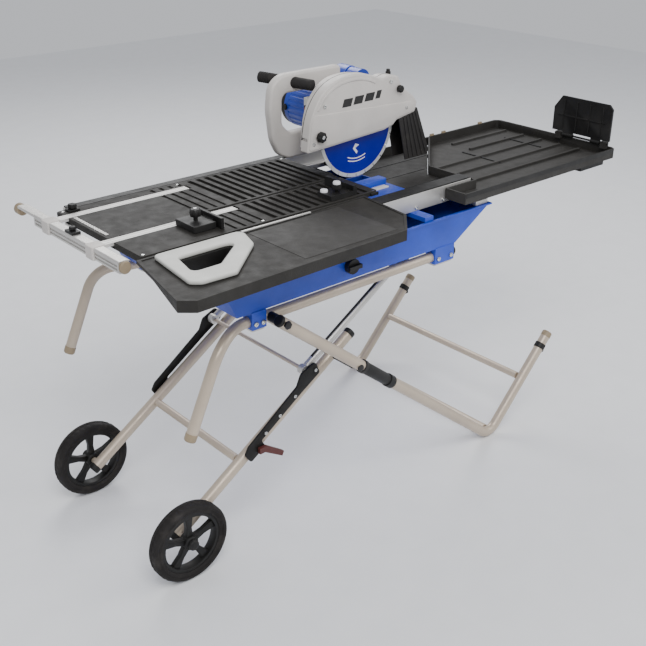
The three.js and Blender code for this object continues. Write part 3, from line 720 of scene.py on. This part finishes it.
def make_rear_tray():
    refine("rear_tray", dark_plastic, 1.6, 3)
    refine("splash_plate", black, 1.6, 3)
    front = (895.6, 898.2)
    panel = blocks((front, (y, y + 4), (790, 876)) for y in (-240, -195, -150, -105))
    panel.block(front, (-250, -84), (828, 832))
    piece("splash_plate_ribs", panel, black, "splash_plate_body", bevel=0.8)
    floor = 737
    under = blocks(((420, 880), (y, y + 5), (726, floor)) for y in (-262, -150, -40, 90))
    under.block((860, 884), (-262, 140), (722, floor))
    under.block((426, 520), (-262, -210), (724, floor))
    under.block((770, 880), (-270, -232), (718, floor))
    piece("rear_tray_underside", under, black, bevel=1.2)
    rim, height = Shape(), (752, 764.6)
    for y, x0, x1 in ((-284.6, 262, 905), (160, 592, 902)):
        rim.block((x0 + 3, x1 - 3), (y - 0.4, y + 1), height)
    rim.block((911.6, 912.8), (-272, 146), height)
    piece("rear_tray_rim_strips", rim, black, bevel=0.4)
    places = ((606, -113, 33), (825, -84, 55), (407, -80, -24))
    stops = blocks(((x - 3, x + 3), (y0, y1), (739.5, 743)) for x, y0, y1 in places)
    piece("rear_tray_floor_stops", stops, black, bevel=1.2)
    hooks = blocks(((x, x + 16), (158, 164), (744, 770)) for x in (600, 652, 820))
    piece("rear_tray_hooks", hooks, tan_plastic, bevel=1.4)


# ---------- post, arm and gear housing ----------
def make_post():
    refine("head_post", blue_metal, 2.4, 3)
    refine("pivot_shaft", zinc)
    refine("head_arm", blue_metal, 2.4, 3)
    refine("gear_housing", grey_cast, 2, 3)
    bosses = ((104, 972), (206, 974), (234, 934), (196, 880), (100, 886))
    add_screws("gear_housing_screws", bosses, 5, (71.5, 66), "head")
    feet = ((345, 298), (345, 330), (415, 298), (415, 330))
    add_screws("post_screws", feet, 5, (743, 738), "base", "Z")
    knob = Shape().turned([(6, 244.2), (6, 240), (13, 239.4), (14, 238), (14, 231), (12, 229), (0, 229)],
                          (330, 945), sides=48, ripple=fluted(1.2, 6, 12.5))
    piece("depth_stop_knob", knob, black, "head")


# ---------- motor ----------
def make_motor():
    low, high = 68.3, 215

    def ribs(turn, radius, t):
        deep = radius > 50 and 92 < t < 198
        return -1.9 if deep and (turn * 24 / math.pi) % 2 > 1.15 else 0

    profile = [(57, low), (59, low), (MOTOR_R, low + 1.2), (MOTOR_R, 90), (59.4, 91), (MOTOR_R, 93),
               (MOTOR_R, 197), (59.4, 199), (MOTOR_R, 201), (MOTOR_R, high - 1.2), (59, high), (57, high)]
    shell = Shape().turned(profile, MOTOR, sides=192, closed=True, ripple=ribs)
    stand_in("motor_housing", shell, blue_plastic, sharp=25)
    cap = Shape().turned([(0, 224), (52, 224), (54, high + 0.3), (58, high + 0.3), (58, 230), (55, 234),
                          (48, 236), (0, 236)], MOTOR, sides=96)
    slots, vents = Shape(), 14
    for i in range(vents):
        vent = [(24, -2.2), (46, -3.4), (46, 3.4), (24, 2.2)]
        slots.prism(spun(vent, MOTOR, 2 * math.pi * i / vents), (231, 240))
    stand_in("motor_end_cap", carve(cap, slots), black, 0.5, sharp=30)
    brushes = Shape()
    for sign in (-1, 1):
        x = MOTOR[0] + sign * 59
        tip = x + sign * 6
        brushes.turned([(0, tip), (7, tip), (8.4, tip - sign * 1.4), (8.4, x - 2)], (208, MOTOR[1]), "X", 32)
    piece("brush_caps", brushes, black, "head", bevel=0.3)
    places = [polar(MOTOR, 51, math.pi / 4 + i * math.pi / 2) for i in range(4)]
    add_screws("motor_screws", places, 3.4, (237.4, 234), "head")
    for node, material in (("stator", copper), ("armature", steel), ("arbor_gear", steel),
                           ("arbor_bearing", steel), ("motor_bearing", steel)):
        cad = frame["nodes"][node]
        cad.data.materials.clear()
        cad.data.materials.append(material)


# ---------- blade ----------
def make_blade():
    teeth, gap = 24, 0.011
    width = 2 * math.pi / teeth

    def segment_rim(radius, root):
        points = []
        for i in range(teeth):
            start = 2 * math.pi * i / teeth
            for k in range(8):
                points.append(polar(ARBOR, radius, start + gap + (width - 2 * gap) * k / 7))
            for shift in (width - gap, width + gap):
                points.append(polar(ARBOR, root, start + shift))
        return points

    def disc(outline, bore, half):
        inner = []
        for x, z in outline:
            share = bore / math.hypot(x - ARBOR[0], z - ARBOR[1])
            inner.append((ARBOR[0] + (x - ARBOR[0]) * share, ARBOR[1] + (z - ARBOR[1]) * share))
        rings = [[(x, y, z) for x, z in points] for points, y in
                 ((outline, -half), (outline, half), (inner, half), (inner, -half))]
        return Shape().skin(rings, closed=True)

    core, segments = disc(segment_rim(119, 117.5), 8.1, 1.1), disc(segment_rim(BLADE_R, 119.5), 117, 1.25)
    piece("blade_core", core, blade_blue, "spindle", ("blade",), 0.1)
    piece("blade_segments", segments, segment_steel, "spindle", bevel=0.15)
    marks, face = Shape(), (-1.32, -1.08)
    for third in range(3):
        turn = -math.pi / 2 + third * 2 * math.pi / 3
        chevron = ((38, -0.12), (52, -0.26), (66, 0.0), (60, 0.06), (50, -0.1), (44, 0.2))
        marks.prism([polar(ARBOR, radius, turn + swing) for radius, swing in chevron], face)
        for radius, reach in ((76, 0.42), (84, 0.36)):
            swings = [reach * (k / 8 - 1) + reach * k / 8 for k in range(9)]
            band = [polar(ARBOR, radius, turn + swing) for swing in swings]
            band += [polar(ARBOR, radius + 2.4, turn - swing) for swing in swings]
            marks.prism(band, face)
    piece("blade_mark", marks, mark_white, "spindle")
    flange = Shape().turned([(8.1, -1.5), (25, -1.5), (25, -4), (23, -6.4), (16, -8), (8.1, -8)], ARBOR,
                            closed=True)
    stand_in("outer_flange", flange, steel, 0.3)
    stand_in("arbor_nut", Shape().pillow(circle(13, ARBOR, 6), (-16, -8.3), 0.8, "Y", 2), zinc)
    shaft = Shape().turned([(0, -18), (7, -18), (7.9, -17), (7.9, 1.5), (25, 1.5), (25, 7.4), (23.4, 9),
                            (11, 9), (11, 29), (7.9, 29), (7.9, 64), (0, 64)], ARBOR)
    stand_in("arbor_shaft", shaft, steel, 0.2)


# ---------- guard ----------
GUARD = [(-42, 868), (-38, 905), (-31, 945), (-19, 975), (0, 1003), (28, 1026), (62, 1039), (102, 1044),
         (140, 1042), (172, 1034), (196, 1022), (212, 1019), (240, 1026), (268, 1018), (282, 990), (328, 958),
         (343, 940), (334, 915), (267, 903), (254, 892), (222, 884)]
GUARD_RADII = [6, *[400] * 9, 60, 60, 60, 14, 10, 14, 10, 8, 12, 12, 30]
GUARD_WALL = 4
# The far half is a little narrower at the front and lower at the top.
GUARD_FAR = [(60 + (x - 60) * 0.82 if x < 60 else x, z - 3 if z > 1000 else z) for x, z in GUARD]


def guard_mouth(front):
    return [(front, 840), (front, 890), (278, 912), (278, 840)]


def guard_half(points, span, ends, hollow, front):
    """A rounded shell, hollow but for its outer wall, with a mouth cut for the blade."""
    half = Shape().pillow(rounded(points, GUARD_RADII, 8), span, 4, ends=ends, steps=5)
    inside = rounded(inset(points, GUARD_WALL), GUARD_RADII, 6)
    for cut in (inside, guard_mouth(front)):
        half = carve(half, Shape().prism(cut, hollow))
    return half


def make_guard():
    outline = rounded(GUARD, GUARD_RADII, 8)
    near = guard_half(GUARD, (-25, 1), RIM_LOW, (-22, 3), -35)
    stand_in("guard_cover", near, grey_cast, 0.3, sharp=40)
    far = guard_half(GUARD_FAR, (1.3, 28), RIM_HIGH, (0, 25), -16)
    far = carve(far, Shape().prism(circle(30, ARBOR, 48), (20, 30)))
    stand_in("guard_body", far, grey_cast, 0.3, sharp=40)
    raised = (-26.6, -24.6)
    lower = rounded([(-36, 874), (-33, 905), (-26, 945), (-19, 960), (322, 946), (333, 936), (328, 920),
                     (264, 908), (250, 897), (222, 889)], [6, 60, 60, 8, 6, 6, 6, 8, 8, 12])
    panel = Shape().pillow(lower, raised, 1.2, ends=RIM_LOW, steps=3)
    piece("guard_lower_panel", panel, grey_cast, "head")

    def along_top(depth):
        return [p for p in inset(outline, depth) if p[1] > 968 and p[0] < 186]

    rib = Shape().pillow(along_top(9) + along_top(16)[::-1], raised, 1, ends=RIM_LOW, steps=3)
    piece("guard_arc_rib", rib, grey_cast, "head")

    def above_mouth(depth):
        return [p for p in inset(outline, depth) if p[1] > 898 and (p[1] > 920 or p[0] < 200)]

    seam = Shape().prism(above_mouth(-0.2) + above_mouth(2)[::-1], (0.3, 2.2))
    piece("guard_seam", seam, black, "head")
    stripes, height, lean = Shape(), 20, 7
    for x, width in ((72, 30), (110, 30), (148, 30), (186, 16)):
        z = 966 + (x - 72) * 0.05
        stripes.prism([(x, z), (x + width, z), (x + width + lean, z + height), (x + lean, z + height)],
                      (-25.5, -24.9))
    piece("guard_stripes", stripes, black, "head")
    places = ((14, 978), (300, 932), (-22, 890), (240, 1008))
    add_screws("guard_screws", places, 5, (-28.4, -24.8), "head")
    bolt_head = Shape().turned([(0, -38), (7, -38), (9, -36), (9, -27), (6, -25)], (270, 986), sides=40,
                               ripple=fluted(0.7, 12, 8))
    piece("guard_bolt", bolt_head, black, "head")
    at = (-3, 906)
    knob = Shape().turned([(5, -25.4), (5, -28), (12, -28.4), (14, -30), (14, -38), (12, -41), (6, -42),
                           (0, -42)], at, sides=72, ripple=fluted(0.8, 8, 11, 0.8))
    stand_in("guard_knob", knob, black)
    pin = Shape().turned([(5, -41.4), (5, -42.8), (4, -43.4), (0, -43.4)], at, sides=28)
    piece("guard_knob_pin", pin, zinc, "guard_knob_body")
    refine("splash_flap", flap_rubber, 1.2)
    pleats, y = Shape(), -23.6
    for share in (0.15, 0.35, 0.55, 0.75, 0.93):
        pleats.tube([(308 + 84 * share, y, 792), (286 + 56 * share, y, 903 + 12 * share)], 1.6, 10)
    piece("flap_pleats", pleats, flap_rubber, "head")
    spray = Shape().turned([(7, 1016), (7, 1027), (5, 1029), (5, 1034), (0, 1034)], (256, 2), "Z", 28)
    piece("spray_fitting", spray, black, "head", bevel=0.4)

# ---------- handle and switch ----------
def make_handle():
    outer = [(166, 1044), (-30, 1044), (-64, 1020), (-72, 960), (-62, 880), (-42, 842), (-12, 828),
             (166, 828), (166, 896), (-8, 896), (-32, 920), (-30, 985), (-18, 996), (166, 996)]
    radii = [12, 60, 60, 120, 80, 40, 40, 12, 12, 26, 26, 16, 16, 12]
    loop = Shape().pillow(rounded(outer, radii, 8), (84, 110), 7, steps=5)
    grip_ends = (Vector((28, 34, 1018)), Vector((-26, 184, 1024)))
    grip_r, groove = 14, 1.5
    tool = Shape().tube(grip_ends, grip_r + 0.3, 40)
    tool.prism(circle(MOTOR_R + 0.3, MOTOR, 96), (70, 120))
    stand_in("handle_loop", carve(loop, tool), grey_cast, sharp=42)
    count, length = 72, 159
    stations, radii = [], []
    for i in range(count + 1):
        t = i / count
        stations.append(grip_ends[0].lerp(grip_ends[1], t))
        ribbed = 0.54 < t < 0.96 and i % 3 == 0
        end = min(t, 1 - t) * length
        radii.append(min(grip_r - (groove if ribbed else 0), 9 + 3.2 * math.sqrt(max(end, 0))))
    stand_in("plunge_grip", Shape().tube(stations, radii, 36), rubber, sharp=50)


def make_switch():
    refine("switch_box", light_grey, 2, 3)
    bezel = Shape().hoop(rounded(rectangle((36.5, 61.5), (934, 966)), 4),
                         rounded(rectangle((40.2, 57.8), (938.2, 961.8)), 2), (20, 22.6), 0.8, "X", steps=3)
    piece("switch_bezel", bezel, black, "head")
    refine("switch_button", red_plastic, 1.2, 3)
    gland = Shape().turned([(9.2, 914.6), (9.2, 906), (8, 904), (7, 899.4), (4, 899.4), (4, 908)], (60, 49),
                           "Z", 36, ripple=fluted(0.6, 8, 9))
    piece("cord_gland", gland, black, "head")


# ---------- folding stand ----------
LEG_DIR = (0.8342, 0.5515)
LEG_R, CAP_R = 14, 14.8


def along_leg(a, b=0):
    return (CROSSING[0] + a * LEG_DIR[0] - b * LEG_DIR[1], CROSSING[1] + a * LEG_DIR[1] + b * LEG_DIR[0])


def ring_cap(shape, start, end, radius):
    """A rounded plug over a tube's end, from start out to end."""
    a, b = Vector(start), Vector(end)
    stations = [a.lerp(b, t) for t in (0, 0.7, 0.88, 0.97, 1)]
    return shape.tube(stations, [radius, radius, radius * 0.93, radius * 0.8, radius * 0.6], 28)


def cross_bar(name, at, radius, reach, body, sides):
    profile = sided(1, (0, -reach), (radius, -reach), (radius, reach), (0, reach))
    stand_in(name, Shape().turned(profile, at, sides=sides), champagne)


def make_rail_tubes():
    bend, foot = (-510, RAIL_Z), (-604, 402)
    for side, sign in SIDES:
        corners = [off((256, RAIL_Z), sign, RAIL_OFF), off((-430, RAIL_Z), sign, RAIL_OFF),
                   off(bend, sign, FEET_OFF), off(foot, sign, FEET_OFF)]
        rail = Shape().tube(bent(corners, 80, 14), 13)
        stand_in(f"stand_rail_{side}", rail, champagne, 0.4)
        studs = Shape().turned(sided(sign, (12, 238), (12, 267.6)), FOLD_PIVOT, sides=40)
        studs.turned(sided(sign, (6, 267), (6, 297)), FOLD_PIVOT, sides=28)
        studs.hexagon(FOLD_PIVOT, 10, across(sign, 296.4, 303))
        piece(f"fold_pivot_{side}", studs, dark_steel, bevel=0.4)
        caps = ring_cap(Shape(), off((252, RAIL_Z), sign, RAIL_OFF), off((262, RAIL_Z), sign, RAIL_OFF), 13.8)
        piece(f"rail_caps_{side}", caps, black)
        end = Vector(off(foot, sign, FEET_OFF))
        down = (end - Vector(off(bend, sign, FEET_OFF))).normalized()
        tip = ring_cap(Shape(), end - down * 14, end + down * 5, 14)
        piece(f"drop_foot_tip_{side}", tip, tan_plastic)


def make_foot_frame():
    low, head = Vector((FOOT[0] + 3, FOOT[1] - 14.6)), Vector((-362, 615))
    riser = Vector(RISER_TOP)
    slope, rise = (low - head).normalized(), (riser - low).normalized()
    middle = head + slope * (Vector(CROSSING) - head).dot(slope)
    for side, sign in SIDES:
        def at(place):
            return off(place, sign, FOOT_OFF)

        leg = Shape().tube(bent([at(head), at(low), at(riser)], 44, 16), LEG_R)
        stand_in(f"foot_leg_{side}", leg, champagne, 0.4)
        studs = Shape().turned(sided(sign, (6, 168), (6, 284)), CROSSING, sides=28)
        studs.turned(sided(sign, (11, 204.4), (11, 270)), CROSSING, sides=36)
        studs.hexagon(CROSSING, 10, across(sign, 166, 175.6))
        studs.turned(sided(sign, (9, 294), (9, 298), (0, 300)), CROSSING, sides=32)
        piece(f"crossing_bolt_{side}", studs, dark_steel, "foot_frame", bevel=0.4)
        dark = Shape()
        for start, end, radius in ((22, 128, 15.4), (128, 150, 17.4), (14, 26, 17.4)):
            a, b = middle + slope * start, middle + slope * end
            stations = [at(a.lerp(b, t)) for t in (0, 0.06, 0.94, 1)]
            dark.tube(stations, [radius - 1.2, radius, radius, radius - 1.2], 32)
        ring_cap(dark, at(head + slope * 6), at(head - slope * 2), 14.2)
        piece(f"leg_sleeve_{side}", dark, black, "foot_frame")
        tip = ring_cap(Shape(), at(riser - rise * 14), at(riser + rise * 3), CAP_R)
        piece(f"riser_tip_{side}", tip, tan_plastic, "foot_frame")
        place = riser - rise * 46
        clip = Shape().tube([at(place - rise * 8), at(place + rise * 8)], 16, 32)
        clip.block((place.x - 4, place.x + 14), across(sign, 276, 288), (place.y - 22, place.y - 12))
        piece(f"riser_clip_{side}", clip, black, "foot_frame", bevel=1)
    for name, place, radius in (("foot_bar", FOOT, LEG_R), ("pull_bar", (540, 146.6), 10)):
        cross_bar(name, place, radius, FOOT_OFF - 14.3, "foot_frame", 40)


def make_wheel_frame():
    low, high = Vector(STRUT_LOW), Vector(SHOE)
    run = (high - low).normalized()
    lift = Vector((-run.y, run.x)) * 7.5
    for side, sign in SIDES:
        def at(place):
            return off(place, sign, LEG_OFF)

        leg = Shape().tube([at(along_leg(-588)), at(along_leg(70))], LEG_R)
        leg.turned(sided(sign, (0, 190), (8, 190), (8, 250.6), (7, 252), (0, 252)), AXLE, sides=36)
        stand_in(f"wheel_leg_{side}", leg, champagne, 0.6)
        dark = ring_cap(Shape(), at(along_leg(62)), at(along_leg(76)), CAP_R)
        ring_cap(dark, at(along_leg(-578)), at(along_leg(-594)), CAP_R)
        piece(f"wheel_leg_caps_{side}", dark, black, "wheel_frame")
        strut = Shape().tube([at(STRUT_LOW), at(SHOE)], 10, 32)
        strut.turned(sided(sign, (13, 181), (13, 199)), STRUT_LOW, sides=36)
        piece(f"strut_{side}", strut, silver, "wheel_frame", (f"scissor_strut_{side}",), 0.8)
        strip = Shape().tube([at(low + run * 36 + lift), at(high - run * 24 + lift)], 4.4, 16)
        piece(f"strut_strip_{side}", strip, black, "wheel_frame")
        outline = [(-62, 10), (-54, 46), (-104, 54), (-132, 36), (-318, 28), (-338, 18), (-338, -12),
                   (-284, -12), (-284, 10), (-130, 12)]
        plate = rounded([along_leg(a, b) for a, b in outline], [6, 12, 14, 14, 14, 8, 8, 4, 5, 20])
        latch = Shape().pillow(plate, across(sign, 204.3, 211), 1.4, steps=3)
        shoe = rounded(rectangle((SHOE[0] - 18, SHOE[0] + 18), (598, 614)), 5)
        latch.pillow(shoe, across(sign, 199, 208), 1.2, steps=3)
        piece(f"latch_plate_{side}", latch, black, "wheel_frame")
        rivets = Shape()
        for a, b in ((-68, 28), (-150, 23), (-210, 20), (-264, 18)):
            rivets.screw(along_leg(a, b), 5, (beside(sign, 214), beside(sign, 210.6)))
        rivets.turned(sided(sign, (6, 190), (6, 209)), STRUT_LOW, sides=24)
        piece(f"latch_rivets_{side}", rivets, zinc, "wheel_frame")
    cross_bar("leg_brace", along_leg(-352), 10, LEG_OFF - 14.3, "wheel_frame", 36)
    reach = 179.7
    rod = sided(1, (0, -reach), (4, -reach), (5, 1 - reach), (5, reach - 1), (4, reach), (0, reach))
    stand_in("latch_rod", Shape().turned(rod, STRUT_LOW, sides=24), champagne)
    refine("release_pedal", pedal_red, 1.6, 3)


# ---------- wheels ----------
def make_wheels():
    for side, sign in SIDES:
        middle = beside(sign, WHEEL_OFF)

        def tread(turn, radius, t):
            place = (turn * 20 / math.pi + (0.5 if t > middle else 0)) % 1
            return -1.8 if radius > 100.9 and place > 0.72 and abs(t - middle) > 3 else 0

        half = [(78, 13), (84, 15.4), (92, 17), (96, 16.6), (99.6, 13.4), (101.6, 9), (101.6, 3.4),
                (100, 2.6)]
        tyre = [(r, middle - t) for r, t in half] + [(r, middle + t) for r, t in half[::-1]]
        shape = Shape().turned(tyre, AXLE, sides=160, closed=True, ripple=tread)
        stand_in(f"tyre_{side}", shape, tyre_rubber, sharp=28)
        bands = Shape()
        for r in (86.5, 90):
            for t in (-1, 1):
                face = middle + t * (15.4 + (r - 84) * 0.2)
                bands.turned([(r - 0.9, face - 0.6), (r - 0.9, face + 0.6), (r + 0.9, face + 0.6),
                              (r + 0.9, face - 0.6)], AXLE, sides=96, closed=True)
        piece(f"tyre_bands_{side}", bands, tyre_rubber, f"wheel_{side}", bevel=0.3)
        rim = [(70, -12), (77.6, -12), (77.6, 12), (70, 12), (68.5, 6), (68.5, -6)]
        hub = Shape().turned([(r, middle + t) for r, t in rim], AXLE, sides=96, closed=True)
        hub.turned([(8.2, middle - 16), (14, middle - 16), (18, middle - 13), (18, middle + 13),
                    (14, middle + 16), (8.2, middle + 16)], AXLE, sides=48, closed=True)
        for i in range(5):
            spoke = [(15, -9), (40, -6.5), (70, -11), (70, 11), (40, 6.5), (15, 9)]
            outline = spun(spoke, AXLE, 2 * math.pi * i / 5 + 0.3)
            hub.pillow(rounded(outline, 2, 3), (middle - 7, middle + 7), 1.5, steps=3)
        stand_in(f"wheel_hub_{side}", hub, black, 0.6)
        cap = sided(sign, (8.1, 246.4), (13, 246.4), (13, 253), (11.4, 254.8), (8, 256), (0, 256))
        piece(f"hub_cap_{side}", Shape().turned(cap, AXLE, sides=40), black, "wheel_frame")


# ---------- studio ----------
def make_studio():
    floor = to_mesh("floor", Shape().block((-6000, 6000), (-6000, 6000), (-30, -0.4)))
    floor.materials.append(finish("floor_paint", "e9eaec", 0.7, "light_grey", mottle=0.01, grain=0.02))
    link("floor", floor)
    world = bpy.context.scene.world or bpy.data.worlds.new("world")
    bpy.context.scene.world = world
    world.use_nodes = True
    background = world.node_tree.nodes["Background"]
    background.inputs["Color"].default_value = (0.93, 0.95, 1, 1)
    background.inputs["Strength"].default_value = 0.65
    middle = row(100, 0, 600)
    lamps = (("key", (-1.6, -2.4, 3.2), 2.2, 130), ("fill", (2.6, -2.2, 1.8), 2.4, 45),
             ("back", (1.4, 2.8, 2.6), 2.0, 80))
    for name, place, size, power in lamps:
        lamp = bpy.data.objects.new(name, bpy.data.lights.new(name, "AREA"))
        lamp.data.size = size
        lamp.data.energy = power
        lamp.location = middle + Vector(place)
        lamp.rotation_mode = "QUATERNION"
        lamp.rotation_quaternion = (middle - lamp.location).to_track_quat("-Z", "Y")
        bpy.context.scene.collection.objects.link(lamp)


aim_camera()
make_basin()
make_rails()
make_blade_well()
make_pump()
make_table()
make_rollers()
make_extension()
make_guides()
make_side_tray()
make_rear_tray()
make_post()
make_motor()
make_blade()
make_guard()
make_handle()
make_switch()
make_rail_tubes()
make_foot_frame()
make_wheel_frame()
make_wheels()
make_studio()
